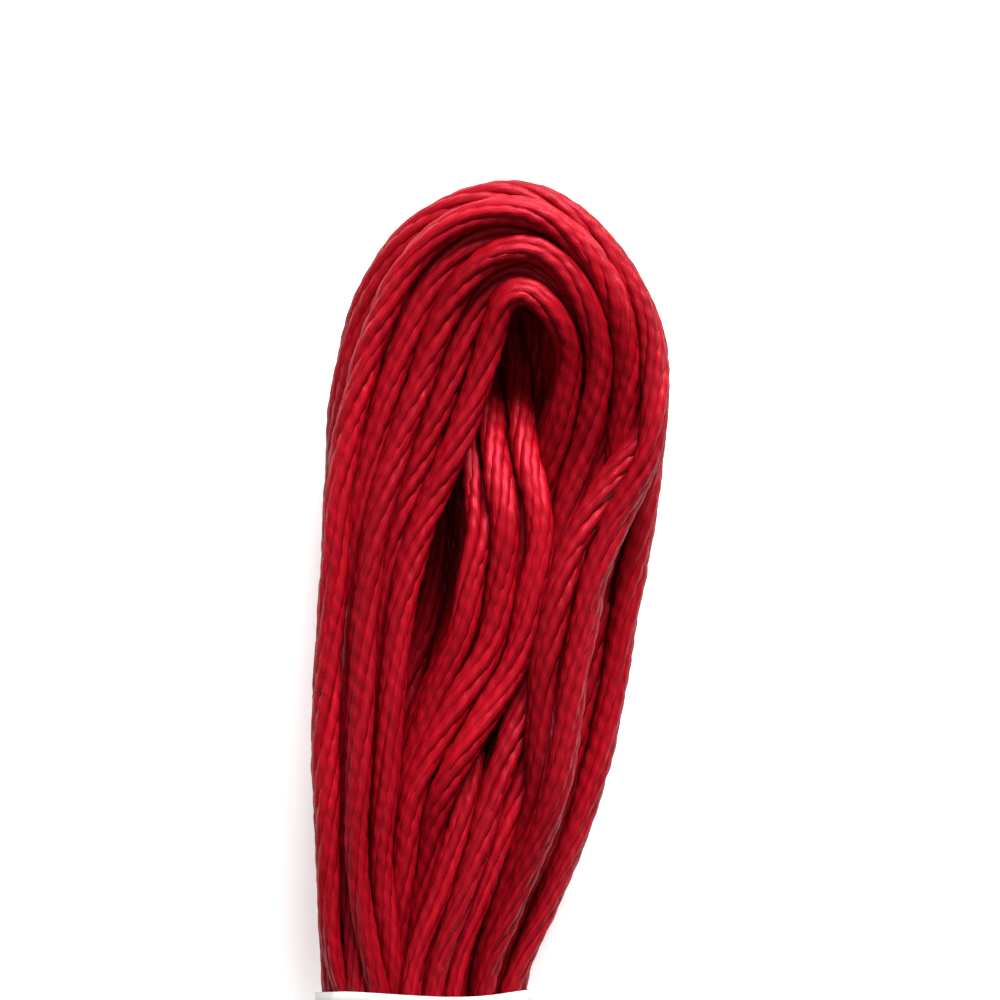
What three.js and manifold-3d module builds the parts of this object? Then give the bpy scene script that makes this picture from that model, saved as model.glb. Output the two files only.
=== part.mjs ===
// A skein of six-strand cotton thread for macrame and embroidery, lying on its back in a plain paper band.
// Millimetres, +Z up. The skein lies along Y with its looped end at +Y. The origin is under its middle.
import * as THREE from 'three';
import { ParametricGeometry } from 'three/addons/geometries/ParametricGeometry.js';
import { mergeVertices } from 'three/addons/utils/BufferGeometryUtils.js';
import Module from 'manifold-3d';

const wasm = await Module();
wasm.setup();

// Overall size.
const HALF_LENGTH = 80;
const HALF_WIDTH = 6.85;

// The paper band: a tube round the waist, with its top edge just below the looped end.
const BAND_TOP = 48.7;
const BAND_BOTTOM = 24.7;
const BAND_WIDTH = 8.3;
const BAND_HEIGHT = 6.9;
const BAND_WALL = 0.4;
const BAND_X_AT_TOP = -2.6;
const BAND_X_AT_BOTTOM = -2.2;
const BAND_SIDES = 40;
const CLEARANCE = 0.3;

// The tail: two straight legs side by side that part to go round the far bend.
const LEG_STATIONS = [21, 6, -10, -27, -44, -58, -68];
const LEGS_STRAIGHT_FROM = -10;
const LEGS_PART_FROM = -40;
const LEGS_PART_TO = -66;
const LEGS_PART_BY = 1.0;
const WAIST_SQUEEZE = 0.62;
const FAR_BEND_RADIUS = 6.3;
const FAR_BEND_STATIONS = 8;

// A bunch's section is a rounded box. Its mesh takes a step at each station, and more where it turns.
const SECTION_SIDES = 12;
const SECTION_POWER = 2.4;
const TURN_PER_STEP = 16;

// The turns lie in four bunches. Each row is one station of a bunch, from the waist up the left leg, over
// the top and down the right leg to the waist: its middle, its full width in plan and its full depth.
const COLUMNS = ['x', 'y', 'z', 'wide', 'deep'];

// Lies in front, round the dark eye.
const FRONT_BUNCH = {
  rows: [
    [-5.4, 48.7, 4.3, 2.8, 3.4],
    [-5.5, 53.0, 4.3, 2.8, 3.4],
    [-5.4, 56.8, 4.3, 3.1, 3.3],
    [-5.1, 60.3, 4.4, 3.6, 3.2],
    [-4.6, 63.8, 4.5, 4.2, 3.0],
    [-3.7, 67.2, 4.5, 4.8, 2.9],
    [-2.8, 70.3, 4.5, 5.2, 2.8],
    [-2.0, 73.0, 4.6, 5.1, 2.8],
    [-1.1, 75.4, 4.8, 4.5, 3.1],
    [0.1, 76.8, 5.0, 4.0, 3.6],
    [1.6, 77.3, 5.1, 3.7, 3.8],
    [3.0, 76.4, 5.0, 3.6, 3.8],
    [3.9, 74.3, 4.8, 3.6, 3.8],
    [4.0, 71.5, 4.5, 3.5, 3.7],
    [3.5, 68.4, 4.3, 3.3, 3.7],
    [2.5, 64.9, 4.3, 3.1, 3.9],
    [1.2, 60.7, 4.3, 2.9, 4.2],
    [-0.3, 56.4, 4.3, 2.8, 4.2],
    [-1.6, 52.4, 4.3, 2.6, 4.2],
    [-2.4, 48.7, 4.3, 2.4, 4.2],
  ],
  tail: { offset: 1.9, z: 4.7, wide: 3.8, deep: 3.5 },
};

// Lies behind the front bunch, and bows out under its eye.
const MIDDLE_BUNCH = {
  rows: [
    [-4.1, 48.7, 2.3, 2.1, 2.6],
    [-3.8, 52.2, 2.2, 2.1, 3.1],
    [-3.0, 56.1, 2.5, 2.1, 3.2],
    [-1.9, 59.5, 2.6, 2.2, 3.2],
    [-0.5, 62.2, 2.4, 2.3, 3.2],
    [0.4, 65.3, 2.0, 2.4, 3.1],
    [0.3, 68.4, 1.6, 2.4, 3.1],
    [-0.2, 71.5, 1.5, 2.3, 3.1],
    [-0.3, 74.1, 1.5, 2.2, 3.2],
    [0.2, 76.4, 1.5, 2.1, 3.2],
    [1.6, 77.4, 1.5, 2.0, 3.2],
    [3.0, 76.5, 1.5, 2.1, 3.2],
    [3.6, 74.1, 1.5, 2.2, 3.2],
    [3.5, 71.5, 1.5, 2.4, 3.1],
    [3.1, 68.4, 1.6, 2.4, 3.1],
    [2.4, 65.3, 1.7, 2.3, 3.2],
    [1.3, 62.2, 1.9, 2.3, 3.3],
    [0.1, 59.1, 2.0, 2.2, 3.3],
    [-1.3, 56.1, 2.0, 2.2, 3.2],
    [-2.3, 52.2, 1.9, 2.2, 3.1],
    [-2.7, 48.7, 2.3, 2.1, 2.6],
  ],
  tail: { offset: 1.3, z: 1.5, wide: 2.8, deep: 3.4 },
};

// Goes round the outside, against the surface.
const OUTER_BUNCH = {
  rows: [
    [-5.4, 48.7, 1.9, 2.2, 2.8],
    [-5.6, 53.0, 1.7, 2.2, 2.9],
    [-5.6, 57.6, 1.5, 2.2, 3.0],
    [-5.4, 62.2, 1.4, 2.3, 3.0],
    [-5.0, 66.8, 1.4, 2.6, 3.0],
    [-4.5, 70.7, 1.4, 2.8, 3.0],
    [-4.0, 73.8, 1.4, 2.6, 3.0],
    [-3.0, 76.3, 1.6, 2.7, 3.3],
    [-1.4, 77.8, 1.5, 2.2, 3.2],
    [0.9, 78.5, 1.6, 2.1, 3.3],
    [3.1, 77.9, 1.6, 2.1, 3.4],
    [4.7, 76.2, 1.6, 2.1, 3.4],
    [5.5, 73.6, 1.6, 2.1, 3.4],
    [5.8, 70.3, 1.6, 2.0, 3.5],
    [5.4, 66.8, 1.9, 2.0, 3.7],
    [4.8, 63.0, 2.2, 2.1, 3.8],
    [4.2, 59.1, 2.5, 2.1, 3.8],
    [3.4, 56.1, 2.7, 2.1, 3.8],
    [2.1, 52.6, 3.0, 2.1, 3.7],
    [0.5, 48.7, 3.2, 2.1, 3.6],
  ],
  tail: { offset: 3.9, z: 1.5, wide: 2.8, deep: 3.4 },
};

// Runs behind on the left, then rises over the others and crosses in front on the right.
const CROSSING_BUNCH = {
  rows: [
    [-5.9, 48.7, 3.0, 1.5, 2.4],
    [-6.0, 53.7, 2.8, 1.5, 2.4],
    [-6.1, 59.1, 2.8, 1.5, 2.4],
    [-6.0, 63.8, 2.8, 1.5, 2.4],
    [-5.8, 67.6, 2.8, 1.6, 2.4],
    [-5.7, 70.9, 2.9, 1.7, 2.4],
    [-5.1, 74.0, 3.0, 1.7, 2.5],
    [-4.0, 76.5, 3.1, 1.6, 2.6],
    [-2.3, 78.4, 3.2, 1.6, 2.7],
    [-0.3, 79.2, 3.3, 1.6, 2.7],
    [1.7, 79.1, 3.5, 1.6, 2.7],
    [3.7, 78.1, 3.7, 1.6, 2.7],
    [5.2, 76.2, 4.0, 1.6, 2.6],
    [6.0, 73.6, 4.4, 1.6, 2.5],
    [6.1, 71.5, 4.7, 1.6, 2.4],
    [5.7, 69.3, 5.1, 1.6, 2.3],
    [4.7, 67.0, 5.5, 1.7, 2.3],
    [3.7, 64.5, 5.7, 1.8, 2.3],
    [3.0, 61.6, 5.7, 1.8, 2.3],
    [2.5, 58.6, 5.6, 1.8, 2.3],
    [1.6, 55.3, 5.3, 2.0, 2.5],
    [0.5, 52.0, 5.0, 2.1, 2.6],
    [-0.4, 48.7, 4.9, 2.0, 2.6],
  ],
  tail: { offset: 4.2, z: 4.5, wide: 2.2, deep: 3.0 },
};

const threadMaterial = new THREE.MeshStandardMaterial({ color: 0xb00f26, roughness: 0.55, metalness: 0 });
const paperMaterial = new THREE.MeshStandardMaterial({ color: 0xe8e6e0, roughness: 0.8, metalness: 0 });

function named(row) {
  return Object.fromEntries(COLUMNS.map((column, i) => [column, row[i]]));
}

// The middle line and the squeeze of the tail: it leaves the band narrow and off centre.
function tailCentre(y) {
  return BAND_X_AT_BOTTOM * (1 - THREE.MathUtils.smoothstep(-y, -BAND_BOTTOM, -LEGS_STRAIGHT_FROM));
}

function tailSqueeze(y) {
  const relaxed = THREE.MathUtils.smoothstep(-y, -BAND_BOTTOM, -LEGS_STRAIGHT_FROM);
  return THREE.MathUtils.lerp(WAIST_SQUEEZE, 1, relaxed);
}

// A bunch's station in one leg of the tail. The side is 1 on the right and -1 on the left.
function legStation(tail, side, y) {
  const squeeze = tailSqueeze(y);
  const parted = LEGS_PART_BY * THREE.MathUtils.smoothstep(-y, -LEGS_PART_FROM, -LEGS_PART_TO);
  const x = tailCentre(y) + side * (tail.offset * squeeze + parted);
  return { ...tail, x, y, wide: tail.wide * squeeze };
}

// A bunch's station on the far bend, a half circle that goes from the right leg to the left one.
function bendStation(tail, angle) {
  const radius = tail.offset + LEGS_PART_BY;
  const x = radius * Math.cos(angle);
  const y = FAR_BEND_RADIUS - HALF_LENGTH - radius * Math.sin(angle);
  return { ...tail, x, y };
}

// The whole round of a bunch: the looped end from its rows, down the tail, round the far bend and back.
function bunchStations({ rows, tail }) {
  const rightLeg = LEG_STATIONS.map((y) => legStation(tail, 1, y));
  const leftLeg = LEG_STATIONS.map((y) => legStation(tail, -1, y)).reverse();
  const bend = [];
  for (let i = 0; i <= FAR_BEND_STATIONS; i += 1) {
    bend.push(bendStation(tail, (Math.PI * i) / FAR_BEND_STATIONS));
  }
  return [...rows.map(named), ...rightLeg, ...bend, ...leftLeg];
}

// The cross-sections of the mesh: each has its middle, its directions across and up, and its sizes.
function meshSections(stations) {
  const middles = stations.map((s) => new THREE.Vector3(s.x, s.y, s.z));
  const sizes = stations.map((s) => new THREE.Vector3(s.wide, s.deep, 0));
  const middleCurve = new THREE.CatmullRomCurve3(middles, true, 'centripetal');
  const sizeCurve = new THREE.CatmullRomCurve3(sizes, true, 'centripetal');
  const sections = [];
  stations.forEach((station, i) => {
    const here = middleCurve.getTangent(i / stations.length);
    const next = middleCurve.getTangent((i + 1) / stations.length);
    const turn = THREE.MathUtils.radToDeg(here.angleTo(next));
    const steps = Math.max(1, Math.round(turn / TURN_PER_STEP));
    for (let k = 0; k < steps; k += 1) {
      const t = (i + k / steps) / stations.length;
      const tangent = middleCurve.getTangent(t);
      const across = new THREE.Vector3(-tangent.y, tangent.x, 0).normalize();
      const up = new THREE.Vector3().crossVectors(tangent, across);
      sections.push({ middle: middleCurve.getPoint(t), across, up, size: sizeCurve.getPoint(t) });
    }
  });
  return sections;
}

// A rounded box's cosine or sine: the plain one raised to a power that squares the corners.
function squared(value) {
  return Math.sign(value) * Math.abs(value) ** (2 / SECTION_POWER);
}

// Shares vertices by position and makes the closed mesh a solid that can be joined and cut.
function toSolid(geometry) {
  geometry.deleteAttribute('normal');
  geometry.deleteAttribute('uv');
  const merged = mergeVertices(geometry, 1e-5);
  const vertProperties = new Float32Array(merged.attributes.position.array);
  const triVerts = new Uint32Array(merged.index.array);
  return new wasm.Manifold(new wasm.Mesh({ numProp: 3, vertProperties, triVerts }));
}

// One bunch of turns as a closed ring: its rounded section carried round the skein.
function bunchSolid(bunch) {
  const sections = meshSections(bunchStations(bunch));
  const surface = (u, v, target) => {
    const section = sections[Math.round(v * sections.length) % sections.length];
    const angle = (2 * Math.PI * (Math.round(u * SECTION_SIDES) % SECTION_SIDES)) / SECTION_SIDES;
    target.copy(section.middle);
    target.addScaledVector(section.across, (section.size.x / 2) * squared(Math.cos(angle)));
    target.addScaledVector(section.up, (section.size.y / 2) * squared(Math.sin(angle)));
  };
  return toSolid(new ParametricGeometry(surface, SECTION_SIDES, sections.length));
}

// Adds the band's outline to a shape or a hole, drawn in from the band's outside by an inset.
function addOutline(path, inset) {
  path.absellipse(0, 0, BAND_WIDTH / 2 - inset, BAND_HEIGHT / 2 - inset, 0, 2 * Math.PI, false);
  return path;
}

// Carries a shape along the waist from one Y to another, leaning with the band.
function waistSolid(shape, fromY, toY) {
  const depth = toY - fromY;
  const geometry = new THREE.ExtrudeGeometry(shape, { depth, bevelEnabled: false, curveSegments: BAND_SIDES });
  geometry.rotateX(Math.PI / 2);
  geometry.translate(0, toY, BAND_HEIGHT / 2);
  const position = geometry.attributes.position;
  for (let i = 0; i < position.count; i += 1) {
    const down = (BAND_TOP - position.getY(i)) / (BAND_TOP - BAND_BOTTOM);
    position.setX(i, position.getX(i) + THREE.MathUtils.lerp(BAND_X_AT_TOP, BAND_X_AT_BOTTOM, down));
  }
  return toSolid(geometry);
}

function makeBand() {
  const shape = addOutline(new THREE.Shape(), 0);
  shape.holes.push(addOutline(new THREE.Path(), BAND_WALL));
  return waistSolid(shape, BAND_BOTTOM, BAND_TOP);
}

// The turns packed tight inside the band. The room for the band is cut out of them afterwards.
function packedWaist() {
  const shape = addOutline(new THREE.Shape(), BAND_WALL);
  return waistSolid(shape, BAND_BOTTOM, BAND_TOP);
}

// The room that the band takes round the waist, with its clearance on all sides.
function bandRoom() {
  const shape = new THREE.Shape();
  shape.absellipse(0, 0, 2 * HALF_WIDTH, 2 * HALF_WIDTH, 0, 2 * Math.PI, false);
  shape.holes.push(addOutline(new THREE.Path(), BAND_WALL + CLEARANCE));
  return waistSolid(shape, BAND_BOTTOM - CLEARANCE, BAND_TOP + CLEARANCE);
}

// All that is below the surface that the skein lies on.
function belowSurface() {
  const depth = 4;
  const block = new THREE.BoxGeometry(4 * HALF_WIDTH, 3 * HALF_LENGTH, depth);
  return toSolid(block.translate(0, 0, -depth / 2));
}

// The wound form: the bunches joined, cut back for the band and flat underneath, with no hollow inside.
function makeSkein() {
  const bunches = [FRONT_BUNCH, MIDDLE_BUNCH, OUTER_BUNCH, CROSSING_BUNCH].map(bunchSolid);
  const joined = bunches.reduce((whole, bunch) => whole.add(bunch), packedWaist());
  const bodies = joined.subtract(bandRoom()).subtract(belowSurface()).decompose();
  return bodies.reduce((largest, body) => (body.volume() > largest.volume() ? body : largest));
}

function part(name, solid, material) {
  const { vertProperties, triVerts } = solid.getMesh();
  const geometry = new THREE.BufferGeometry();
  geometry.setAttribute('position', new THREE.BufferAttribute(vertProperties, 3));
  geometry.setIndex(new THREE.BufferAttribute(triVerts, 1));
  geometry.computeVertexNormals();
  const mesh = new THREE.Mesh(geometry, material);
  mesh.name = name;
  return mesh;
}

const model = new THREE.Group();
model.add(part('skein', makeSkein(), threadMaterial));
model.add(part('band', makeBand(), paperMaterial));

export default model;
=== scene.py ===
import bpy
import numpy as np
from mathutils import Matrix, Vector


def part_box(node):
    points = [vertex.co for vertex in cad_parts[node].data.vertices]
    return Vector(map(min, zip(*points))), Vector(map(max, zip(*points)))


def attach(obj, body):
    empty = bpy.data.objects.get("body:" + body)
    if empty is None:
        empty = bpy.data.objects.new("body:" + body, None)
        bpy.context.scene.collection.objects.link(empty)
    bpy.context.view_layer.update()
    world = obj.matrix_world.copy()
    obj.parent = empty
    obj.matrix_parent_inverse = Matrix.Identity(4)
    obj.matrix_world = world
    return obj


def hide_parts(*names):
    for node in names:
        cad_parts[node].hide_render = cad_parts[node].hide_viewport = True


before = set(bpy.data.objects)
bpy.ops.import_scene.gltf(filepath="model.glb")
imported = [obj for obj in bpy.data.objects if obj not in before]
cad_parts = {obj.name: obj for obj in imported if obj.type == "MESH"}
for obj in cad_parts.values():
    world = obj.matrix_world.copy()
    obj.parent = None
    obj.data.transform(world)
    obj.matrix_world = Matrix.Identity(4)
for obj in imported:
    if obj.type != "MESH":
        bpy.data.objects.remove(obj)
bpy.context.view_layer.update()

# Camera: it looks straight down on the skein's near loop, as the photograph does. A long lens from
# 0.4 m keeps the view nearly parallel, and the band's upper edge just shows at the bottom.
MM = 0.001
VIEW_CENTRE = (0.35, 67.6)
VIEW_WIDTH = 38.5
VIEW_DISTANCE = 400
SUBJECT_HEIGHT = 4.5
SENSOR_WIDTH = 36
camera_data = bpy.data.cameras.new("camera")
camera_data.sensor_width = SENSOR_WIDTH
camera_data.lens = SENSOR_WIDTH * VIEW_DISTANCE / VIEW_WIDTH
camera_data.clip_start = 0.01
camera_data.clip_end = 20
camera = bpy.data.objects.new("camera", camera_data)
camera.location = (VIEW_CENTRE[0] * MM, VIEW_CENTRE[1] * MM, (SUBJECT_HEIGHT + VIEW_DISTANCE) * MM)
bpy.context.scene.collection.objects.link(camera)
bpy.context.scene.camera = camera
bpy.context.scene.view_settings.view_transform = "Standard"

# The winding: one cotton thread of 8 m, laid round and round in 25 turns of 320 mm, which a reeling
# machine drops as four bunches. They cross in the near loop and lie side by side under the band.
# Lengths are in mm up to the studio.
STEP = 0.5
THREAD_THICKNESS = 1.20
PRESSED_THICKNESS = 0.90
LOOSE_AFTER = 11
# Each row is a bunch's centre, then its width and depth there: up the left leg, over the top and down
# the right leg.
FRONT_BUNCH = [
    (-5.4, 48.7, 4.3, 2.8, 3.4), (-5.5, 53.0, 4.2, 2.8, 3.4), (-5.4, 56.8, 4.3, 3.1, 3.3),
    (-5.2, 60.3, 4.4, 3.1, 3.6), (-5.0, 63.8, 4.6, 3.4, 3.4), (-4.4, 67.2, 4.9, 4.3, 3.0),
    (-3.4, 70.3, 5.1, 5.3, 2.6), (-2.4, 73.1, 5.1, 5.6, 2.5), (-1.4, 75.4, 5.1, 5.2, 2.7),
    (0.0, 77.0, 5.1, 4.2, 3.2), (2.0, 77.5, 5.0, 3.5, 3.8), (3.9, 76.2, 4.8, 3.0, 4.0),
    (4.9, 74.1, 4.1, 2.4, 4.2), (4.6, 71.5, 3.5, 2.5, 4.0), (3.5, 68.4, 2.9, 2.6, 3.5),
    (2.3, 64.9, 2.7, 2.5, 3.2), (1.0, 60.7, 3.2, 2.5, 3.5), (-0.1, 56.4, 3.9, 2.4, 3.9),
    (-1.3, 52.4, 4.3, 2.3, 4.2), (-2.4, 48.7, 4.3, 2.2, 4.2),
]
MIDDLE_BUNCH = [
    (-4.0, 48.7, 3.0, 2.1, 3.0), (-3.5, 52.2, 3.6, 2.1, 3.2), (-2.5, 56.1, 4.2, 2.3, 3.0),
    (-0.9, 59.2, 4.4, 2.5, 2.4), (0.5, 61.8, 4.6, 2.8, 2.0), (1.0, 64.1, 4.8, 3.2, 1.8),
    (1.3, 66.4, 4.6, 3.4, 1.8), (1.0, 68.8, 3.7, 3.6, 1.8), (0.6, 71.1, 2.2, 3.9, 2.0),
    (0.3, 73.6, 1.4, 4.2, 2.0), (0.6, 75.7, 1.6, 3.1, 2.6), (1.9, 76.9, 1.6, 2.3, 2.8),
    (3.0, 75.8, 1.6, 2.2, 2.8), (3.3, 73.6, 1.5, 2.4, 2.6), (3.5, 71.1, 1.4, 2.6, 2.4),
    (3.3, 68.4, 1.2, 2.8, 2.1), (2.7, 65.1, 1.1, 2.9, 2.0), (1.6, 61.6, 1.3, 2.7, 2.3),
    (0.2, 58.4, 1.7, 2.3, 2.8), (-1.3, 55.3, 1.9, 2.1, 3.1), (-2.3, 51.8, 1.9, 2.1, 3.1),
    (-2.7, 48.7, 2.3, 2.1, 2.6),
]
OUTER_BUNCH = [
    (-5.4, 48.7, 1.9, 2.2, 2.8), (-5.4, 53.0, 1.7, 2.5, 2.8), (-5.0, 56.8, 1.5, 3.5, 2.3),
    (-4.0, 60.3, 1.2, 4.7, 1.7), (-2.9, 63.8, 1.0, 5.3, 1.4), (-2.8, 67.2, 1.0, 5.3, 1.4),
    (-3.6, 70.7, 1.2, 4.3, 2.1), (-3.7, 73.6, 1.4, 3.2, 2.6), (-3.0, 76.2, 1.6, 2.5, 3.1),
    (-1.4, 77.8, 1.6, 2.2, 3.2), (0.9, 78.6, 1.6, 2.1, 3.3), (3.0, 77.9, 1.6, 2.1, 3.4),
    (4.6, 76.2, 1.6, 2.1, 3.4), (5.4, 73.6, 1.6, 2.1, 3.4), (5.6, 70.3, 1.6, 2.1, 3.3),
    (5.2, 66.8, 1.7, 2.2, 3.2), (4.5, 63.0, 1.8, 2.4, 3.2), (3.9, 59.1, 2.0, 2.4, 3.2),
    (3.2, 56.1, 2.4, 2.3, 3.3), (2.0, 52.6, 2.9, 2.2, 3.6), (0.7, 48.7, 3.1, 2.2, 3.6),
]
CROSSING_BUNCH = [
    (-5.9, 48.7, 3.0, 1.5, 2.4), (-6.0, 53.7, 2.9, 1.5, 2.4), (-6.0, 59.1, 2.9, 1.5, 2.4),
    (-5.9, 63.8, 2.9, 1.5, 2.4), (-5.7, 67.6, 3.0, 1.5, 2.4), (-5.6, 70.9, 3.1, 1.6, 2.4),
    (-5.0, 74.0, 3.3, 1.7, 2.5), (-4.0, 76.5, 3.8, 1.6, 2.8), (-2.3, 78.3, 4.2, 1.5, 3.0),
    (-0.3, 79.3, 4.5, 1.5, 3.1), (1.8, 79.2, 4.7, 1.5, 3.1), (3.7, 78.0, 4.9, 1.5, 3.0),
    (5.2, 76.1, 5.0, 1.5, 2.8), (6.0, 73.6, 5.2, 1.4, 2.8), (5.7, 71.5, 5.5, 1.5, 2.6),
    (4.7, 69.3, 5.8, 1.7, 2.5), (3.5, 67.0, 6.1, 1.8, 2.4), (2.5, 64.5, 6.2, 1.8, 2.3),
    (1.9, 61.6, 6.2, 1.8, 2.3), (1.6, 58.6, 5.9, 1.8, 2.4), (1.1, 55.3, 5.5, 1.9, 2.6),
    (0.2, 52.0, 5.1, 2.0, 2.6), (-0.6, 48.7, 4.9, 2.0, 2.6),
]
# The loop's outline as seen from above, from the band up the left side and down the right side.
LOOP_OUTLINE = [
    (-6.7, 48.6), (-6.8, 53.7), (-6.9, 59.9), (-6.7, 63.0), (-6.5, 66.1), (-6.5, 69.1), (-6.2, 71.8),
    (-5.5, 74.9), (-4.1, 77.5), (-2.3, 79.0), (0.7, 80.0), (2.7, 79.4), (4.3, 78.2), (5.8, 76.1),
    (6.7, 74.1), (6.8, 70.9), (6.4, 67.0), (5.8, 63.8), (5.2, 59.9), (4.5, 56.8), (3.7, 54.1),
    (2.7, 51.7), (1.8, 49.8), (1.4, 48.6),
]
# Each turn's place in its bunch, across and up, from -1 to 1 of the bunch's half width and half depth.
FRONT_PLACES = [(-.5, -1), (-.95, -.2), (-.9, .8), (-.45, .6), (0, .9), (0, -.5), (.45, .5), (.9, .7),
                (.95, -.2), (.5, -1)]
MIDDLE_PLACES = [(-1, .7), (-.7, -.8), (0, .9), (-.1, -.9), (.45, -.9), (1, .7)]
OUTER_PLACES = [(-1, -.4), (-.7, -1), (-.3, .5), (0, -1), (.3, .6), (.7, -.6), (1, .9)]
CROSSING_PLACES = [(-.9, -.8), (.9, .8)]
# In the tail: each bunch's distance from the middle line, its height, width and depth.
BUNCHES = {
    "outer": (OUTER_BUNCH, OUTER_PLACES, (3.9, 1.5, 2.8, 3.4)),
    "middle": (MIDDLE_BUNCH, MIDDLE_PLACES, (1.3, 1.5, 2.8, 3.4)),
    "front": (FRONT_BUNCH, FRONT_PLACES, (1.9, 4.7, 3.8, 3.5)),
    "crossing": (CROSSING_BUNCH, CROSSING_PLACES, (4.2, 4.5, 2.2, 3.0)),
}
# The band's place and the size of its bore, an oval whose middle shifts a little from end to end.
band_low, band_high = (np.array(corner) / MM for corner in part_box("band"))
BAND_BOTTOM, BAND_TOP = band_low[1], band_high[1]
BAND_X_AT_TOP = -2.6
BAND_X_AT_BOTTOM = -2.2
BAND_MIDDLE_Z = 3.35
BORE_HALF_WIDTH = 4.0
BORE_HALF_HEIGHT = 3.25
# The tail's stations, how far its legs are squeezed at the band, and how they part for the far bend.
TAIL_Y = (21, 6, -10, -27, -44, -58, -68)
WAIST_SQUEEZE = 0.62
UNSQUEEZED_BELOW = -10
LEGS_PART_FROM = -40
LEGS_PART_TO = -66
LEGS_PART_BY = 1.0
FAR_BEND_Y = -73.7
FAR_BEND_STATIONS = 9


def smoothstep(x, start, end):
    """0 before start, 1 after end, and 3t^2 - 2t^3 between them, t being the share of the way."""
    t = np.clip((x - start) / (end - start), 0, 1)
    return t * t * (3 - 2 * t)


def tail_rows(offset, z, wide, deep):
    """A bunch's rows in the tail: down on the right, round a half circle at the far bend, and back up
    on the left. The legs are squeezed together at the band and part a little before the bend."""
    y = np.array(TAIL_Y, float)
    relaxed = smoothstep(-y, -BAND_BOTTOM, -UNSQUEEZED_BELOW)
    squeeze = WAIST_SQUEEZE + (1 - WAIST_SQUEEZE) * relaxed
    middle_x = BAND_X_AT_BOTTOM * (1 - relaxed)
    side = offset * squeeze + LEGS_PART_BY * smoothstep(-y, -LEGS_PART_FROM, -LEGS_PART_TO)
    same = np.ones_like(y)
    right = np.stack([middle_x + side, y, z * same, wide * squeeze, deep * same], 1)
    left = np.stack([middle_x - side, y, z * same, wide * squeeze, deep * same], 1)[::-1]
    angle = np.linspace(0, np.pi, FAR_BEND_STATIONS)
    radius = offset + LEGS_PART_BY
    bend_x = radius * np.cos(angle)
    bend_y = FAR_BEND_Y - radius * np.sin(angle)
    same = np.ones_like(angle)
    bend = np.stack([bend_x, bend_y, z * same, wide * same, deep * same], 1)
    return np.concatenate([right, bend, left])


def hermite(a, slope_a, b, slope_b, t):
    """The cubic from a to b that leaves with slope_a and arrives with slope_b, at shares t."""
    return ((2 * t**3 - 3 * t**2 + 1) * a + (t**3 - 2 * t**2 + t) * slope_a
            + (3 * t**2 - 2 * t**3) * b + (t**3 - t**2) * slope_b)


def even_steps(dense, step):
    """The points of a polyline, every step along its length in x, y and z."""
    run = np.concatenate([[0], np.cumsum(np.linalg.norm(np.diff(dense[:, :3], axis=0), axis=1))])
    count = int(round(run[-1] / step))
    along = np.arange(count) * run[-1] / count
    return np.stack([np.interp(along, run, column) for column in dense.T], 1)


def guide_curve(rows, closed, step, shares=60):
    """A smooth curve through the rows, in even steps: cubics whose slope at a row is the mean of the
    two neighbouring chords, weighed so that a short chord counts more (centripetal spacing)."""
    rows = np.asarray(rows, float)
    after = np.roll(rows, -1, 0)
    gap = np.maximum(np.linalg.norm((after - rows)[:, :3], axis=1), 1e-6) ** 0.5
    chord = (after - rows) / gap[:, None]
    before, gap_before = np.roll(chord, 1, 0), np.roll(gap, 1)
    slope = (before * gap[:, None] + chord * gap_before[:, None]) / (gap + gap_before)[:, None]
    if not closed:
        slope[0], slope[-1] = chord[0], chord[-2]
    t = np.linspace(0, 1, shares, endpoint=False)[None, :, None]
    leaving = slope[:, None] * gap[:, None, None]
    arriving = np.roll(slope, -1, 0)[:, None] * gap[:, None, None]
    dense = hermite(rows[:, None], leaving, after[:, None], arriving, t)
    if not closed:
        dense = dense[:-1]
    end = rows[:1] if closed else rows[-1:]
    return even_steps(np.concatenate([dense.reshape(-1, rows.shape[1]), end]), step)


def lay_frame(points, closed=False):
    """Along, across and up at each point: across is level and square to the path, up completes them."""
    if closed:
        along = np.roll(points, -1, 0) - np.roll(points, 1, 0)
    else:
        along = np.gradient(points, axis=0)
    along /= np.linalg.norm(along, axis=1)[:, None]
    across = np.stack([-along[:, 1], along[:, 0], np.zeros(len(points))], 1)
    across /= np.linalg.norm(across, axis=1)[:, None]
    return along, across, np.cross(along, across)


def thread_thickness(y):
    """The thread is pressed thin under the band and is full again a few mm outside it."""
    away = np.maximum(np.maximum(y - BAND_TOP, BAND_BOTTOM - y), 0)
    return PRESSED_THICKNESS + (THREAD_THICKNESS - PRESSED_THICKNESS) * smoothstep(away, 0, LOOSE_AFTER)


def slow_wander(along, length, dice, waves=(4, 16), terms=6, half_at=8):
    """A sum of a few sines with whole numbers of waves in the length, so a turn ends as it began. The
    more waves a sine has, the lower it is: with half_at waves it is half as high as a very long one."""
    total = np.zeros_like(along)
    for _ in range(terms):
        count = dice.integers(*waves)
        wave = np.sin(2 * np.pi * (count * along / length + dice.random()))
        total += wave * dice.normal() / (1 + count / half_at)
    return total


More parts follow.
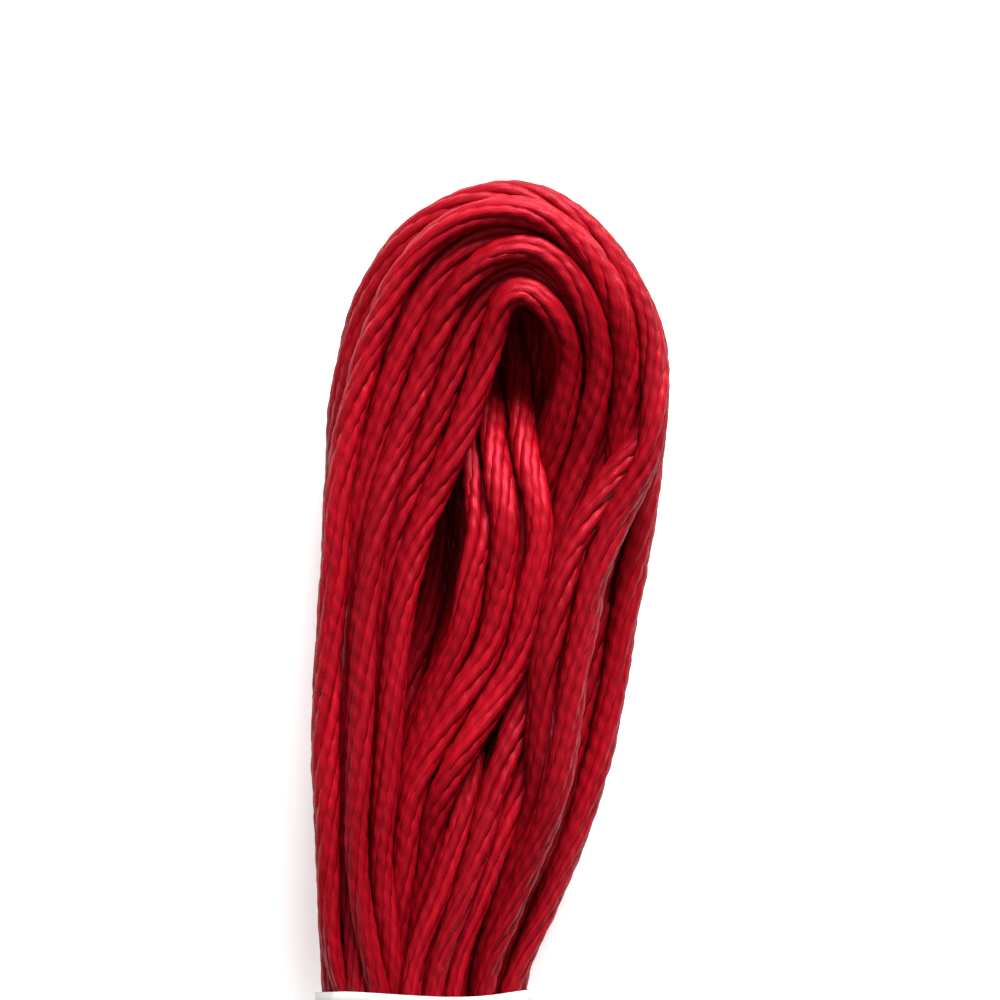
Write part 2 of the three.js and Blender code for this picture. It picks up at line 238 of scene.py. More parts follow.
def wind_turns(wander=0.25, changeover=44, tuck=12):
    """The thread's centre line before it settles, and the bunch of each turn. A turn keeps its place
    in its bunch all the way round, but for a slow wander, and on its last stretch inside the band
    passes into the next turn's place. Both ends of the thread are tucked inside the band. The
    changeover and the tuck count points."""
    dice = np.random.default_rng(3)
    turns, bunch_of_turn = [], []
    for bunch, (rows, places, tail) in BUNCHES.items():
        guide = guide_curve(list(rows) + list(tail_rows(*tail)), True, STEP)
        _, across, up = lay_frame(guide[:, :3], closed=True)
        thick = thread_thickness(guide[:, 1])
        along = np.arange(len(guide)) * STEP
        for place_across, place_up in places:
            side = place_across * (guide[:, 3] - thick) / 2
            side += slow_wander(along, len(guide) * STEP, dice) * wander / 2
            lift = place_up * (guide[:, 4] - thick) / 2
            lift += slow_wander(along, len(guide) * STEP, dice) * wander / 2
            turns.append(guide[:, :3] + side[:, None] * across + lift[:, None] * up)
            bunch_of_turn.append(bunch)
    first_end = turns[0][-tuck:]
    share = smoothstep(np.arange(changeover), 0, changeover - 1)[:, None]
    for turn, following in zip(turns[:-1], turns[1:]):
        turn[-changeover:] = turn[-changeover:] * (1 - share) + following[-changeover:] * share
    return np.concatenate([first_end] + turns)[:-tuck], bunch_of_turn


def close_pairs(points, reach):
    """All pairs of points nearer than reach: points are sorted by the cell they fall in, and each is
    compared with those of its own cell and of half the neighbouring cells."""
    cell = np.floor((points - points.min(0)) / reach).astype(np.int64) + 1
    size = cell.max(0) + 2
    key = (cell[:, 0] * size[1] + cell[:, 1]) * size[2] + cell[:, 2]
    order = np.argsort(key, kind="stable")
    sorted_key = key[order]
    around = [(dx, dy, dz) for dx in (0, 1) for dy in (-1, 0, 1) for dz in (-1, 0, 1)]
    steps = [step for step in around if step >= (0, 0, 0)]
    found_a, found_b = [], []
    for dx, dy, dz in steps:
        other = sorted_key + (dx * size[1] + dy) * size[2] + dz
        first = np.searchsorted(sorted_key, other, "left")
        last = np.searchsorted(sorted_key, other, "right")
        if (dx, dy, dz) == (0, 0, 0):
            first = np.arange(len(points)) + 1
        count = np.maximum(last - first, 0)
        a = np.repeat(np.arange(len(points)), count)
        b = np.arange(count.sum()) - np.repeat(np.cumsum(count) - count, count) + first[a]
        found_a.append(order[a])
        found_b.append(order[b])
    a, b = np.concatenate(found_a), np.concatenate(found_b)
    near = ((points[a] - points[b]) ** 2).sum(1) < reach**2
    return a[near], b[near]


def even_out(path, passes):
    """Running means of three in place, in the shares 1/4, 1/2 and 1/4. The two ends stay."""
    for _ in range(passes):
        path[1:-1] = 0.5 * path[1:-1] + 0.25 * (path[:-2] + path[2:])


# How the thread settles. A point's own neighbours along the thread don't push it, and in one round
# the outline moves it in by the largest nudge at most.
SETTLE_ROUNDS = 260
PAIRS_FOUND_EVERY = 8
PAIR_MARGIN = 0.25
OWN_NEIGHBOURS = 5
PUSH_SHARE = 0.9
CROWD_POWER = 0.6
KEPT_MOVE = 0.995
TOP_LIMIT = 7.4
BORE_SLACK = 0.02
OUTLINE_STEP = 0.25
OUTLINE_ABOVE_BAND = 0.3
OUTER_RADIUS = 0.55
LARGEST_NUDGE = 0.5


def settle(laid):
    """The threads push each other apart until they only touch. Each round, every pair that overlaps
    moves apart by half the overlap, less where many touch. The moves are evened out along the thread
    and shrink a little, and the thread is kept on the table, in the band's bore, under its highest
    point and inside the loop's outline."""
    edge = guide_curve(LOOP_OUTLINE, False, OUTLINE_STEP)
    edge_run = np.gradient(edge, axis=0)
    edge_out = np.stack([-edge_run[:, 1], edge_run[:, 0]], 1)
    edge_out /= np.linalg.norm(edge_out, axis=1)[:, None]
    points = laid.copy()
    moved = np.zeros_like(points)
    count = len(points)
    for settle_round in range(SETTLE_ROUNDS):
        thick = thread_thickness(points[:, 1])
        if settle_round % PAIRS_FOUND_EVERY == 0:
            a, b = close_pairs(points, THREAD_THICKNESS + PAIR_MARGIN)
            apart = np.abs(a - b) > OWN_NEIGHBOURS
            a, b = a[apart], b[apart]
        between = points[b] - points[a]
        distance = np.sqrt((between**2).sum(1)) + 1e-9
        overlap = (thick[a] + thick[b]) / 2 - distance
        hit = overlap > 0
        hit_a, hit_b = a[hit], b[hit]
        push = between[hit] / distance[hit][:, None] * (overlap[hit] / 2)[:, None]
        move = np.stack([np.bincount(hit_b, one_way, count) - np.bincount(hit_a, one_way, count)
                         for one_way in push.T], 1)
        touching = np.bincount(hit_a, minlength=count) + np.bincount(hit_b, minlength=count)
        moved += PUSH_SHARE * move / np.maximum(touching, 1)[:, None] ** CROWD_POWER
        even_out(moved, 2)
        moved *= KEPT_MOVE
        points = laid + moved
        in_band = (points[:, 1] < BAND_TOP) & (points[:, 1] > BAND_BOTTOM)
        down = (BAND_TOP - points[:, 1]) / (BAND_TOP - BAND_BOTTOM)
        bore_x = BAND_X_AT_TOP + (BAND_X_AT_BOTTOM - BAND_X_AT_TOP) * down
        side = (points[:, 0] - bore_x) / (BORE_HALF_WIDTH + BORE_SLACK - thick / 2)
        rise = (points[:, 2] - BAND_MIDDLE_Z) / (BORE_HALF_HEIGHT + BORE_SLACK - thick / 2)
        out = np.sqrt(side**2 + rise**2)
        pull = np.where(in_band & (out > 1), 1 / np.maximum(out, 1), 1)
        points[:, 0] = bore_x + (points[:, 0] - bore_x) * pull
        points[:, 2] = BAND_MIDDLE_Z + (points[:, 2] - BAND_MIDDLE_Z) * pull
        points[:, 2] = np.clip(points[:, 2], thick / 2, TOP_LIMIT - thick / 2)
        loop = np.nonzero(points[:, 1] > BAND_TOP + OUTLINE_ABOVE_BAND)[0]
        offset = points[loop, None, :2] - edge[None]
        nearest = (offset**2).sum(2).argmin(1)
        inside = -(offset[np.arange(len(loop)), nearest] * edge_out[nearest]).sum(1)
        lack = np.clip(OUTER_RADIUS - inside, 0, LARGEST_NUDGE)
        points[loop, :2] -= edge_out[nearest] * lack[:, None]
        moved = points - laid
    return points


laid_thread, bunch_of_turn = wind_turns()
thread = settle(laid_thread)

# The near loop's thread: six strands laid together to the right, each of two plies twisted to the
# left, of long-staple cotton that is mercerised, so it shines, and dyed a deep red. Nothing holds the
# strands together but their light twist.
STRAND_COUNT = 6
STRAND_RADIUS = 0.265
STRAND_CIRCLE = 0.30
STRAND_LAY = 13.0
PLY_LAY = 1.6
PLY_DEPTH = 0.055
STRAND_SIDES = 8
STRAND_STEP = 0.24
HIDDEN_IN_BAND = 3
# How far the lay, the plies and each strand drift, in radians, and by what share the circle, the
# radius and the plies' depth vary, over a stretch of thread as long as the drift length.
LAY_DRIFT = 0.5
PLY_DRIFT = 0.5
STRAND_DRIFT = 0.16
CIRCLE_VARIES = 0.09
RADIUS_VARIES = 0.04
PLY_DEPTH_VARIES = 0.5
DRIFT_LENGTH = 90.0
# The tone of a turn, a strand and a place on it round a mean of 1, and how far it may go.
TURN_TONE = 0.07
STRAND_TONE = 0.05
PLACE_TONE = 0.05
TONE_LIMITS = (0.75, 1.25)
# Fibres are ten times as long as they are wide, and each strand reads another place of the noise.
FIBRE_STRETCH = 0.1
NOISE_SHIFT = 60
# A tube's column in the UV map keeps this share free on each side.
MAP_MARGIN = 0.04
MAP_SHARE = 1 - 2 * MAP_MARGIN


def red_cotton(name, furrow_shade_red, wave_scale=None):
    """Mercerised cotton dyed red. Fibres are streaks of noise stretched along the strand, read from
    the piece's own lay attribute, which is the place on a strand pulled straight. The crest attribute
    says how far a place is up from a furrow, and the colour is darkened towards the furrows as painted
    shade: the red given for the furrows is that painted shade's red, and green and blue are small
    shares of it. The gloss fades to nothing at grazing angles, where loose fibres scatter it. With a
    wave scale, plies are drawn as a sine of the UV map: so many waves across it and so many along it,
    in the bump and as painted highlight and shade in the colour, lighter on the ridges and darker
    between them."""
    material = bpy.data.materials.new(name)
    material.use_nodes = True
    nodes, links = material.node_tree.nodes, material.node_tree.links
    shader = nodes["Principled BSDF"]
    shader.inputs["Roughness"].default_value = 0.40
    shader.inputs["IOR"].default_value = 1.5
    shader.inputs["Specular Tint"].default_value = (1.0, 0.10, 0.16, 1)
    facing = nodes.new("ShaderNodeLayerWeight")
    facing.inputs["Blend"].default_value = 0.5
    gloss = nodes.new("ShaderNodeMapRange")
    gloss.interpolation_type = "SMOOTHSTEP"
    gloss.inputs["From Min"].default_value = 0.95
    gloss.inputs["From Max"].default_value = 0.0
    gloss.inputs["To Min"].default_value = 0.0
    gloss.inputs["To Max"].default_value = 1.1
    links.new(facing.outputs["Facing"], gloss.inputs["Value"])
    links.new(gloss.outputs["Result"], shader.inputs["Specular IOR Level"])
    lay = nodes.new("ShaderNodeAttribute")
    lay.attribute_name = "lay"
    fibres = nodes.new("ShaderNodeTexNoise")
    fibres.inputs["Scale"].default_value = 10
    fibres.inputs["Detail"].default_value = 5
    fibres.inputs["Roughness"].default_value = 0.6
    links.new(lay.outputs["Vector"], fibres.inputs["Vector"])
    crest = nodes.new("ShaderNodeAttribute")
    crest.attribute_name = "crest"
    tone = nodes.new("ShaderNodeAttribute")
    tone.attribute_name = "tone"
    # Painted shade: the colour darkens from the crests down into the furrows, where shade falls between
    # plies and between strands.
    furrow = nodes.new("ShaderNodeValToRGB")
    furrow.color_ramp.elements[0].position = 0.0
    furrow.color_ramp.elements[0].color = (furrow_shade_red, 0.007 * furrow_shade_red, 0.028 * furrow_shade_red, 1)
    furrow.color_ramp.elements[1].position = 0.6
    furrow.color_ramp.elements[1].color = (0.345, 0.0024, 0.0090, 1)
    links.new(crest.outputs["Fac"], furrow.inputs["Fac"])
    streak = nodes.new("ShaderNodeMapRange")
    streak.inputs["From Min"].default_value = 0.3
    streak.inputs["From Max"].default_value = 0.7
    streak.inputs["To Min"].default_value = 0.62
    streak.inputs["To Max"].default_value = 1.2
    links.new(fibres.outputs["Fac"], streak.inputs["Value"])
    strength = nodes.new("ShaderNodeMath")
    strength.operation = "MULTIPLY"
    links.new(streak.outputs["Result"], strength.inputs[0])
    links.new(tone.outputs["Fac"], strength.inputs[1])
    shade = nodes.new("ShaderNodeVectorMath")
    shade.operation = "SCALE"
    links.new(furrow.outputs["Color"], shade.inputs[0])
    with_ply = nodes.new("ShaderNodeMath")
    with_ply.operation = "MULTIPLY"
    with_ply.inputs[1].default_value = 1
    links.new(strength.outputs["Value"], with_ply.inputs[0])
    links.new(with_ply.outputs["Value"], shade.inputs["Scale"])
    links.new(shade.outputs["Vector"], shader.inputs["Base Color"])
    bump = nodes.new("ShaderNodeBump")
    bump.inputs["Strength"].default_value = 0.8
    bump.inputs["Distance"].default_value = 0.05 * MM
    height = fibres.outputs["Fac"]
    if wave_scale is not None:
        place = nodes.new("ShaderNodeUVMap")
        place.uv_map = "thread_map"
        waves = nodes.new("ShaderNodeVectorMath")
        waves.operation = "DOT_PRODUCT"
        waves.inputs[1].default_value = (2 * np.pi * wave_scale[0], 2 * np.pi * wave_scale[1], 0)
        links.new(place.outputs["UV"], waves.inputs[0])
        uneven = nodes.new("ShaderNodeMath")
        uneven.operation = "MULTIPLY_ADD"
        uneven.inputs[1].default_value = 3
        links.new(fibres.outputs["Fac"], uneven.inputs[0])
        links.new(waves.outputs["Value"], uneven.inputs[2])
        ply = nodes.new("ShaderNodeMath")
        ply.operation = "SINE"
        links.new(uneven.outputs["Value"], ply.inputs[0])
        # Painted highlight and shade: the colour is lighter on each ply's ridge and darker between the
        # plies.
        ply_painted_shade = nodes.new("ShaderNodeMath")
        ply_painted_shade.operation = "MULTIPLY_ADD"
        ply_painted_shade.inputs[1].default_value = 0.13
        ply_painted_shade.inputs[2].default_value = 0.95
        links.new(ply.outputs["Value"], ply_painted_shade.inputs[0])
        links.new(ply_painted_shade.outputs["Value"], with_ply.inputs[1])
        relief = nodes.new("ShaderNodeMath")
        relief.operation = "MULTIPLY_ADD"
        relief.inputs[1].default_value = 0.4
        links.new(ply.outputs["Value"], relief.inputs[0])
        links.new(fibres.outputs["Fac"], relief.inputs[2])
        height = relief.outputs["Value"]
    links.new(height, bump.inputs["Height"])
    links.new(bump.outputs["Normal"], shader.inputs["Normal"])
    return material


def tube_faces(rings, sides, start):
    """Quads of a tube of rings of sides points, outwards, with a face at each end."""
    ring = np.arange(rings - 1)[:, None] * sides
    side = np.arange(sides)[None]
    after = (side + 1) % sides
    corners = np.stack([ring + side, ring + after, ring + sides + after, ring + sides + side], -1)
    quads = start + corners.reshape(-1, 4)
    first = start + np.arange(sides)[::-1]
    last = start + (rings - 1) * sides + np.arange(sides)
    return quads, first, last


def make_tubes(name, tubes, material):
    """One mesh of many closed tubes. Each tube is (points, lay, tone, crest) with points of shape
    rings, sides, 3. The UV map gives each tube its own column, round it in u and along it in v."""
    points, lays, tones, crests, loops, sizes, uv = [], [], [], [], [], [], []
    start = 0
    longest = max(len(tube[0]) for tube in tubes)
    for column, (place, lay, tone, crest) in enumerate(tubes):
        rings, sides = place.shape[:2]
        quads, first, last = tube_faces(rings, sides, start)
        start += rings * sides
        points.append(place.reshape(-1, 3))
        lays.append(lay.reshape(-1, 3))
        tones.append(np.broadcast_to(tone[:, None], (rings, sides)).reshape(-1))
        crests.append(np.broadcast_to(crest, (rings, sides)).reshape(-1))
        u = (column + MAP_MARGIN + MAP_SHARE * np.arange(sides + 1) / sides) / len(tubes)
        v = np.arange(rings) / longest
        left = np.broadcast_to(u[:-1], (rings - 1, sides))
        right = np.broadcast_to(u[1:], (rings - 1, sides))
        low = np.broadcast_to(v[:-1, None], (rings - 1, sides))
        high = np.broadcast_to(v[1:, None], (rings - 1, sides))
        round_uv = np.stack([left, low, right, low, right, high, left, high], -1).reshape(-1, 2)
        first_uv = np.stack([u[:-1][::-1], np.zeros(sides)], 1)
        last_uv = np.stack([u[:-1], np.full(sides, v[-1])], 1)
        loops += [quads.reshape(-1), first, last]
        sizes += [np.full(len(quads), 4), [sides], [sides]]
        uv += [round_uv, first_uv, last_uv]
    points = np.concatenate(points) * MM
    loops, sizes, uv = np.concatenate(loops), np.concatenate(sizes), np.concatenate(uv)
    mesh = bpy.data.meshes.new(name)
    mesh.vertices.add(len(points))
    mesh.vertices.foreach_set("co", points.astype(np.float32).ravel())
    mesh.loops.add(len(loops))
    mesh.loops.foreach_set("vertex_index", loops.astype(np.int32))
    mesh.polygons.add(len(sizes))
    mesh.polygons.foreach_set("loop_start", (np.cumsum(sizes) - sizes).astype(np.int32))
    mesh.uv_layers.new(name="thread_map").data.foreach_set("uv", uv.astype(np.float32).ravel())
    for label, kind, field, values in (("lay", "FLOAT_VECTOR", "vector", lays),
                                       ("tone", "FLOAT", "value", tones),
                                       ("crest", "FLOAT", "value", crests)):
        attribute = mesh.attributes.new(label, kind, "POINT")
        attribute.data.foreach_set(field, np.concatenate(values).astype(np.float32).ravel())
    mesh.update(calc_edges=True)
    mesh.validate()
    mesh.shade_smooth()
    mesh.materials.append(material)
    piece = bpy.data.objects.new(name, mesh)
    bpy.context.scene.collection.objects.link(piece)
    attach(piece, "root")
    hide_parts("skein")


def split_runs(mask):
    """The first and last index of every stretch where the mask holds."""
    edges = np.flatnonzero(np.diff(np.concatenate([[0], mask.astype(int), [0]])))
    return edges.reshape(-1, 2)


def smooth_path(points, step, passes):
    """The path in even steps of another length, its corners evened out by running means of three."""
    fine = even_steps(points, step)
    even_out(fine, passes)
    return fine


def tube_places(centre, across, up, around, section, s, dice):
    """A tube's points, centre + section (cos around across + sin around up), and their lay: the same
    section on a strand pulled straight, each tube at a place of its own in the fibre noise."""
    side, rise = np.cos(around), np.sin(around)
    place = centre[:, None] + section[..., None] * (
        side[..., None] * across[:, None] + rise[..., None] * up[:, None])
    far = np.broadcast_to(FIBRE_STRETCH * s[:, None], around.shape)
    lay = np.stack([section * side, section * rise, far], -1)
    return place, lay + dice.uniform(0, NOISE_SHIFT, 3)


def six_strands(path, dice):
    """Six strand tubes along a thread's path. Strand k lies at angle 2 pi k / 6 + 2 pi s / lay on a
    circle round the path. Its section is r (1 + depth cos 2 angle), an oval of two plies, whose
    long axis turns the other way, once in a ply lay. Circle, lay and radius wander slowly."""
    _, across, up = lay_frame(path)
    s = np.arange(len(path)) * STRAND_STEP
    scale = thread_thickness(path[:, 1]) / THREAD_THICKNESS
    turn = 2 * np.pi * (s / STRAND_LAY + dice.random())
    turn += LAY_DRIFT * slow_wander(s, DRIFT_LENGTH, dice, waves=(2, 7), terms=4)
    column = 2 * np.pi * np.arange(STRAND_SIDES) / STRAND_SIDES
    turn_tone = 1 + TURN_TONE * dice.normal()
    tubes = []
    for strand in range(STRAND_COUNT):
        drift = slow_wander(s, DRIFT_LENGTH, dice, waves=(3, 14), terms=5)
        angle = turn + 2 * np.pi * strand / STRAND_COUNT + STRAND_DRIFT * drift
        drift = slow_wander(s, DRIFT_LENGTH, dice, waves=(3, 14), terms=5)
        circle = STRAND_CIRCLE * scale * (1 + CIRCLE_VARIES * drift)
        centre = path + circle[:, None] * (np.cos(angle)[:, None] * across + np.sin(angle)[:, None] * up)
        ply_turn = -2 * np.pi * (s / PLY_LAY + dice.random())
        ply_turn -= PLY_DRIFT * slow_wander(s, DRIFT_LENGTH, dice, waves=(5, 22), terms=4)
        drift = slow_wander(s, DRIFT_LENGTH, dice, waves=(8, 40), terms=4)
        radius = STRAND_RADIUS * scale * (1 + RADIUS_VARIES * drift)
        around = ply_turn[:, None] + column
        drift = slow_wander(s, DRIFT_LENGTH, dice, waves=(10, 60), terms=4)
        depth = PLY_DEPTH * (1 + PLY_DEPTH_VARIES * drift)
        section = radius[:, None] * (1 + depth[:, None] * np.cos(2 * column))
        place, lay = tube_places(centre, across, up, around, section, s, dice)
        tone = turn_tone + STRAND_TONE * dice.normal()
        tone = tone + PLACE_TONE * slow_wander(s, DRIFT_LENGTH, dice, waves=(3, 20), terms=4)
        # The last value is the crest, which the material turns into painted shade in the furrow between
        # the two plies.
        tubes.append((place, lay, np.clip(tone, *TONE_LIMITS), 0.5 + 0.5 * np.cos(2 * column)))
    return tubes


near_runs = split_runs(thread[:, 1] > BAND_TOP - HIDDEN_IN_BAND)
assert len(near_runs) == len(bunch_of_turn)
# Painted shade: the furrow between each strand's two plies is darkened towards this red.
loop_cotton = red_cotton("loop_cotton", furrow_shade_red=0.30)
NEAR_PIECES = {
    "outer_turns_a": ("outer", 0, 4),
    "outer_turns_b": ("outer", 4, 7),
    "middle_turns": ("middle", 0, 6),
    "front_turns_a": ("front", 0, 5),
    "front_turns_b": ("front", 5, 10),
    "crossing_turns": ("crossing", 0, 2),
}
strand_dice = np.random.default_rng(11)
for name, (bunch, first, last) in NEAR_PIECES.items():
    of_bunch = [run for run, its_bunch in zip(near_runs, bunch_of_turn) if its_bunch == bunch]
    tubes = []
    for start, end in of_bunch[first:last]:
        tubes += six_strands(smooth_path(thread[start:end], STRAND_STEP, passes=6), strand_dice)
    make_tubes(name, tubes, loop_cotton)

# The tail's thread: the same thread under and beyond the band, down to the far bend, where it is seen
# from further off. The six strands are lobes of one closed form, and their plies are in the material,
# as bump and as painted highlight and shade in the colour. The furrows between the lobes get a
# deeper painted shade than those of the near loop.
TAIL_LOBE = 0.11
LOBE_SHARE = 0.6
TAIL_SIDES = 12
TAIL_STEP = 0.8
TAIL_RADIUS_VARIES = 0.03
TAIL_DRIFT_LENGTH = 300.0
TAIL_OVERLAP = 1
SHORTEST_RUN = 6


def lobed_thread(path, dice):
    """One thread as a tube of radius R (1 + lobe (cos 6 angle - share)), whose lobes turn once in a
    strand lay. Its columns follow the lobes, a crest and a furrow by turns, and the crest value sets
    the painted shade in the furrows between the strands."""
    _, across, up = lay_frame(path)
    s = np.arange(len(path)) * TAIL_STEP
    turn = 2 * np.pi * (s / STRAND_LAY + dice.random())
    turn += LAY_DRIFT * slow_wander(s, TAIL_DRIFT_LENGTH, dice, waves=(5, 20), terms=4)
    column = 2 * np.pi * np.arange(TAIL_SIDES) / TAIL_SIDES
    around = turn[:, None] + column
    drift = slow_wander(s, TAIL_DRIFT_LENGTH, dice, waves=(10, 60), terms=4)
    radius = thread_thickness(path[:, 1]) / 2 * (1 + TAIL_RADIUS_VARIES * drift)
    section = radius[:, None] * (1 + TAIL_LOBE * (np.cos(STRAND_COUNT * column) - LOBE_SHARE))
    place, lay = tube_places(path, across, up, around, section, s, dice)
    tone = 1 + STRAND_TONE * dice.normal()
    tone = tone + PLACE_TONE * slow_wander(s, TAIL_DRIFT_LENGTH, dice, waves=(8, 40), terms=4)
    return place, lay, np.clip(tone, *TONE_LIMITS), 0.5 + 0.5 * np.cos(STRAND_COUNT * column)


tail_runs = split_runs(thread[:, 1] < BAND_TOP - HIDDEN_IN_BAND + TAIL_OVERLAP)
tail_dice = np.random.default_rng(12)
tail_tubes = [lobed_thread(smooth_path(thread[start:end], TAIL_STEP, passes=1), tail_dice)
              for start, end in tail_runs if end - start > SHORTEST_RUN]
half_way = len(tail_tubes) // 2
for name, tubes in (("tail_turns_a", tail_tubes[:half_way]), ("tail_turns_b", tail_tubes[half_way:])):
    plies_across = -STRAND_COUNT * len(tubes) / MAP_SHARE
    plies_along = max(len(tube[0]) for tube in tubes) * TAIL_STEP / (PLY_LAY / 2)
    # Painted shade: the furrows between the tail's strand lobes are darkened towards this red.
    tail_cotton = red_cotton(name + "_cotton", furrow_shade_red=0.16, wave_scale=(plies_across, plies_along))
    make_tubes(name, tubes, tail_cotton)

# The band: a strip of thin off-white paper drawn tight round the skein, its end glued over its start
# underneath. It is left plain. The threads show through it as faint ridges.
PAPER_THICKNESS = 0.13
PAPER_OVERLAP = 0.5
BAND_HALF_WIDTH = 4.12
BAND_HALF_HEIGHT = 3.36
BAND_LIFT = 0.12
BAND_INSET = 0.05
TABLE_GAP = 0.02
LAP_LIFT = PAPER_THICKNESS * 1.15
START_LIFTS = (0.08, 0.16)
END_LIFTS = (0.8, 0.93)
RIDGE_HEIGHT = 0.035
DENT_DEPTH = 0.05
EDGE_FLARE = 0.10
FLARE_LENGTH = 1.6
EDGE_SLANT = 0.08
SLANT_OVER = 12
POINTS_ROUND = 200
POINTS_UP = 61


def paper_strip():
    """The strip's outer and inner face on one grid: an oval of two half axes, followed for a little
    more than one round, the end lying a paper's thickness outside the start. Products of slow sines
    dent it and raise the ridges: whole numbers count waves in a round, and y is divided by mm per
    radian. It flares a little towards both edges."""
    angle = np.linspace(-PAPER_OVERLAP / 2, 2 * np.pi + PAPER_OVERLAP / 2, POINTS_ROUND) - np.pi / 2
    y = np.linspace(BAND_BOTTOM + BAND_INSET, BAND_TOP - BAND_INSET, POINTS_UP)
    spiral = np.linspace(0, 1, POINTS_ROUND)
    over = LAP_LIFT * smoothstep(spiral, *END_LIFTS)
    fade = 0.6 + 0.4 * np.cos(y / 3.1)[:, None]
    ridges = RIDGE_HEIGHT * np.cos(22 * angle)[None] * np.cos(3 * angle + 1)[None] * fade
    dents = DENT_DEPTH * np.sin(5 * angle[None] + y[:, None] / 4.2)
    dents = dents * np.sin(2 * angle[None] - y[:, None] / 2.7 + 1)
    near_top = smoothstep(y, BAND_TOP - FLARE_LENGTH, BAND_TOP)
    near_bottom = smoothstep(-y, -BAND_BOTTOM - FLARE_LENGTH, -BAND_BOTTOM)
    edge = EDGE_FLARE * (near_top + near_bottom)
    flare = edge[:, None] * (0.4 + 0.6 * np.sin(7 * angle + 0.7)[None])
    out = over[None] + ridges + dents + flare
    drop = BAND_TOP - y
    centre = BAND_X_AT_TOP + (BAND_X_AT_BOTTOM - BAND_X_AT_TOP) * drop / (BAND_TOP - BAND_BOTTOM)
    start_lift = LAP_LIFT * (1 - smoothstep(spiral, *START_LIFTS))
    faces = []
    for inset in (0, PAPER_THICKNESS):
        wide, high = BAND_HALF_WIDTH - inset + out, BAND_HALF_HEIGHT - inset + out
        x = centre[:, None] + wide * np.cos(angle)[None]
        z = np.maximum(BAND_MIDDLE_Z + BAND_LIFT + high * np.sin(angle)[None],
                       TABLE_GAP + inset + start_lift[None])
        slant = EDGE_SLANT * np.sin(3 * angle + 1)[None]
        edge_y = y[:, None] + slant * (y[:, None] - y.mean()) / SLANT_OVER
        faces.append(np.stack([x, np.broadcast_to(edge_y, x.shape), z], -1))
    return np.stack(faces)


def off_white_paper():
    """Uncoated paper: short fibres as fine noise in the bump, faint clouds in the colour."""
    material = bpy.data.materials.new("off_white_paper")
    material.use_nodes = True
    nodes, links = material.node_tree.nodes, material.node_tree.links
    shader = nodes["Principled BSDF"]
    shader.inputs["Roughness"].default_value = 0.75
    shader.inputs["Specular IOR Level"].default_value = 0.3
    place = nodes.new("ShaderNodeTexCoord")
    clouds = nodes.new("ShaderNodeTexNoise")
    clouds.inputs["Scale"].default_value = 400
    clouds.inputs["Detail"].default_value = 6
    links.new(place.outputs["Object"], clouds.inputs["Vector"])
    colour = nodes.new("ShaderNodeValToRGB")
    colour.color_ramp.elements[0].position = 0.3
    colour.color_ramp.elements[0].color = (0.56, 0.555, 0.53, 1)
    colour.color_ramp.elements[1].position = 0.7
    colour.color_ramp.elements[1].color = (0.69, 0.685, 0.66, 1)
    links.new(clouds.outputs["Fac"], colour.inputs["Fac"])
    links.new(colour.outputs["Color"], shader.inputs["Base Color"])
    pulp = nodes.new("ShaderNodeTexNoise")
    pulp.inputs["Scale"].default_value = 5000
    pulp.inputs["Detail"].default_value = 4
    links.new(place.outputs["Object"], pulp.inputs["Vector"])
    bump = nodes.new("ShaderNodeBump")
    bump.inputs["Strength"].default_value = 0.35
    bump.inputs["Distance"].default_value = 0.03 * MM
    links.new(pulp.outputs["Fac"], bump.inputs["Height"])
    links.new(bump.outputs["Normal"], shader.inputs["Normal"])
    return material


def band_faces():
    """Quads of the outer face, the inner face turned over, and the four narrow edges between them."""
    index = np.arange(2 * POINTS_UP * POINTS_ROUND).reshape(2, POINTS_UP, POINTS_ROUND)
    outer, inner = index
    quads = [np.stack([outer[:-1, :-1], outer[1:, :-1], outer[1:, 1:], outer[:-1, 1:]], -1),
             np.stack([inner[:-1, :-1], inner[:-1, 1:], inner[1:, 1:], inner[1:, :-1]], -1),
             np.stack([outer[-1, :-1], inner[-1, :-1], inner[-1, 1:], outer[-1, 1:]], -1),
             np.stack([outer[0, :-1], outer[0, 1:], inner[0, 1:], inner[0, :-1]], -1),
             np.stack([outer[:-1, 0], inner[:-1, 0], inner[1:, 0], outer[1:, 0]], -1),
             np.stack([outer[:-1, -1], outer[1:, -1], inner[1:, -1], inner[:-1, -1]], -1)]
    return np.concatenate([q.reshape(-1, 4) for q in quads])


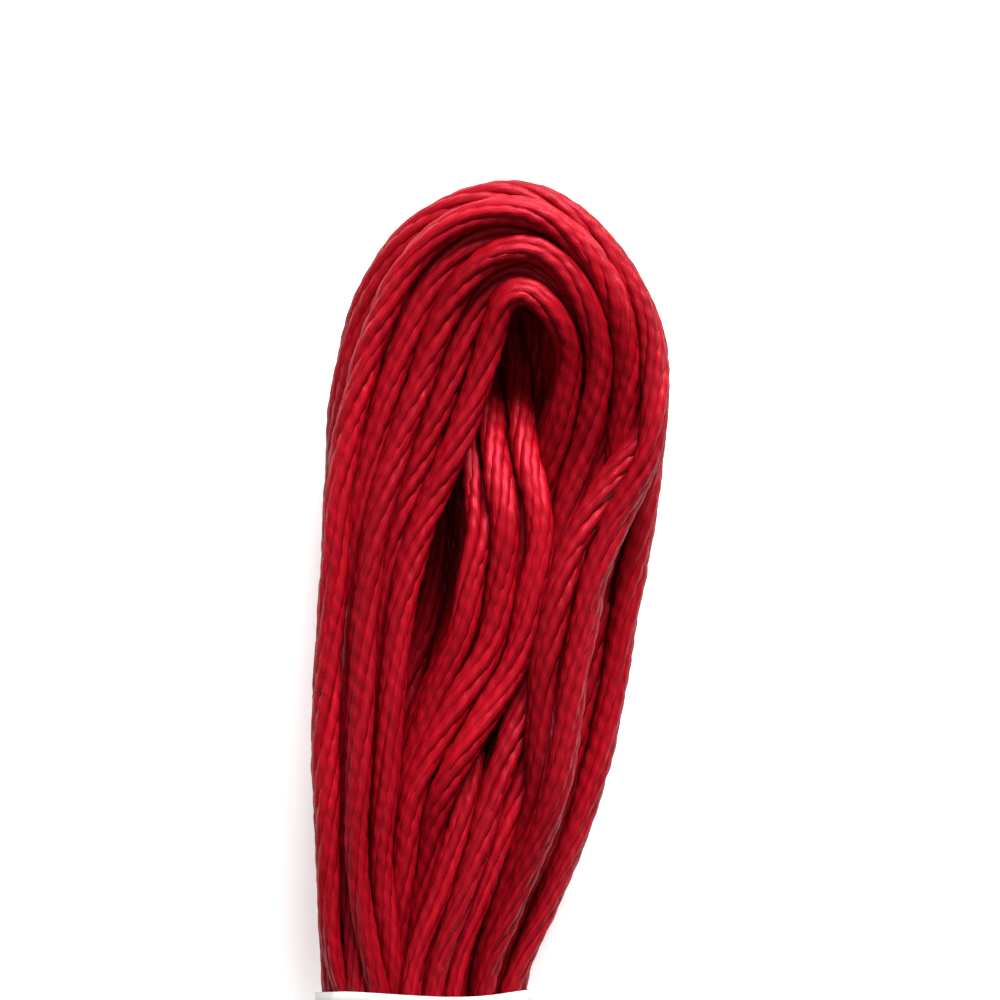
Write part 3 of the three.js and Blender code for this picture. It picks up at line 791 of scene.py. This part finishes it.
strip = paper_strip()
band_mesh = bpy.data.meshes.new("paper_band")
band_mesh.from_pydata((strip.reshape(-1, 3) * MM).tolist(), [], band_faces().tolist())
band_mesh.update()
band_mesh.shade_smooth()
band_mesh.materials.append(off_white_paper())
band = bpy.data.objects.new("paper_band", band_mesh)
bpy.context.scene.collection.objects.link(band)
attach(band, "root")
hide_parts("band")

# The studio: a plain pale table, a broad soft light from beyond the loop's top, high up, a weaker one
# from the left, and an even white surround. Lengths are in metres here.
HALF_TABLE = 1.5
TABLE_DROP = 0.00002
floor_mesh = bpy.data.meshes.new("floor")
floor_corners = [(-HALF_TABLE, -HALF_TABLE, 0), (HALF_TABLE, -HALF_TABLE, 0),
                 (HALF_TABLE, HALF_TABLE, 0), (-HALF_TABLE, HALF_TABLE, 0)]
floor_mesh.from_pydata(floor_corners, [], [(0, 1, 2, 3)])
floor_material = bpy.data.materials.new("pale_table")
floor_material.use_nodes = True
table = floor_material.node_tree.nodes["Principled BSDF"]
table.inputs["Base Color"].default_value = (0.9, 0.9, 0.9, 1)
table.inputs["Roughness"].default_value = 0.8
table.inputs["Specular IOR Level"].default_value = 0.1
table.inputs["Emission Color"].default_value = (1, 1, 1, 1)
table.inputs["Emission Strength"].default_value = 0.52
floor_mesh.materials.append(floor_material)
floor = bpy.data.objects.new("floor", floor_mesh)
floor.location.z = -TABLE_DROP
bpy.context.scene.collection.objects.link(floor)


def soft_light(name, place, aim, size, power):
    """A square lamp at place, turned so that it shines on aim."""
    data = bpy.data.lights.new(name, "AREA")
    data.size = size
    data.energy = power
    lamp = bpy.data.objects.new(name, data)
    lamp.location = place
    direction = np.array(aim) - np.array(place)
    lamp.rotation_euler = (np.arctan2(np.hypot(*direction[:2]), -direction[2]), 0,
                           np.arctan2(direction[1], direction[0]) - np.pi / 2)
    bpy.context.scene.collection.objects.link(lamp)


loop_middle = (0, 0.06, 0.003)
soft_light("key", (0.14, 0.60, 0.35), loop_middle, size=0.28, power=9.8)
soft_light("fill", (-0.15, 0.15, 0.55), loop_middle, size=0.50, power=0.6)
world = bpy.data.worlds.new("studio")
world.use_nodes = True
world.node_tree.nodes["Background"].inputs["Color"].default_value = (1, 1, 1, 1)
world.node_tree.nodes["Background"].inputs["Strength"].default_value = 0.11
bpy.context.scene.world = world
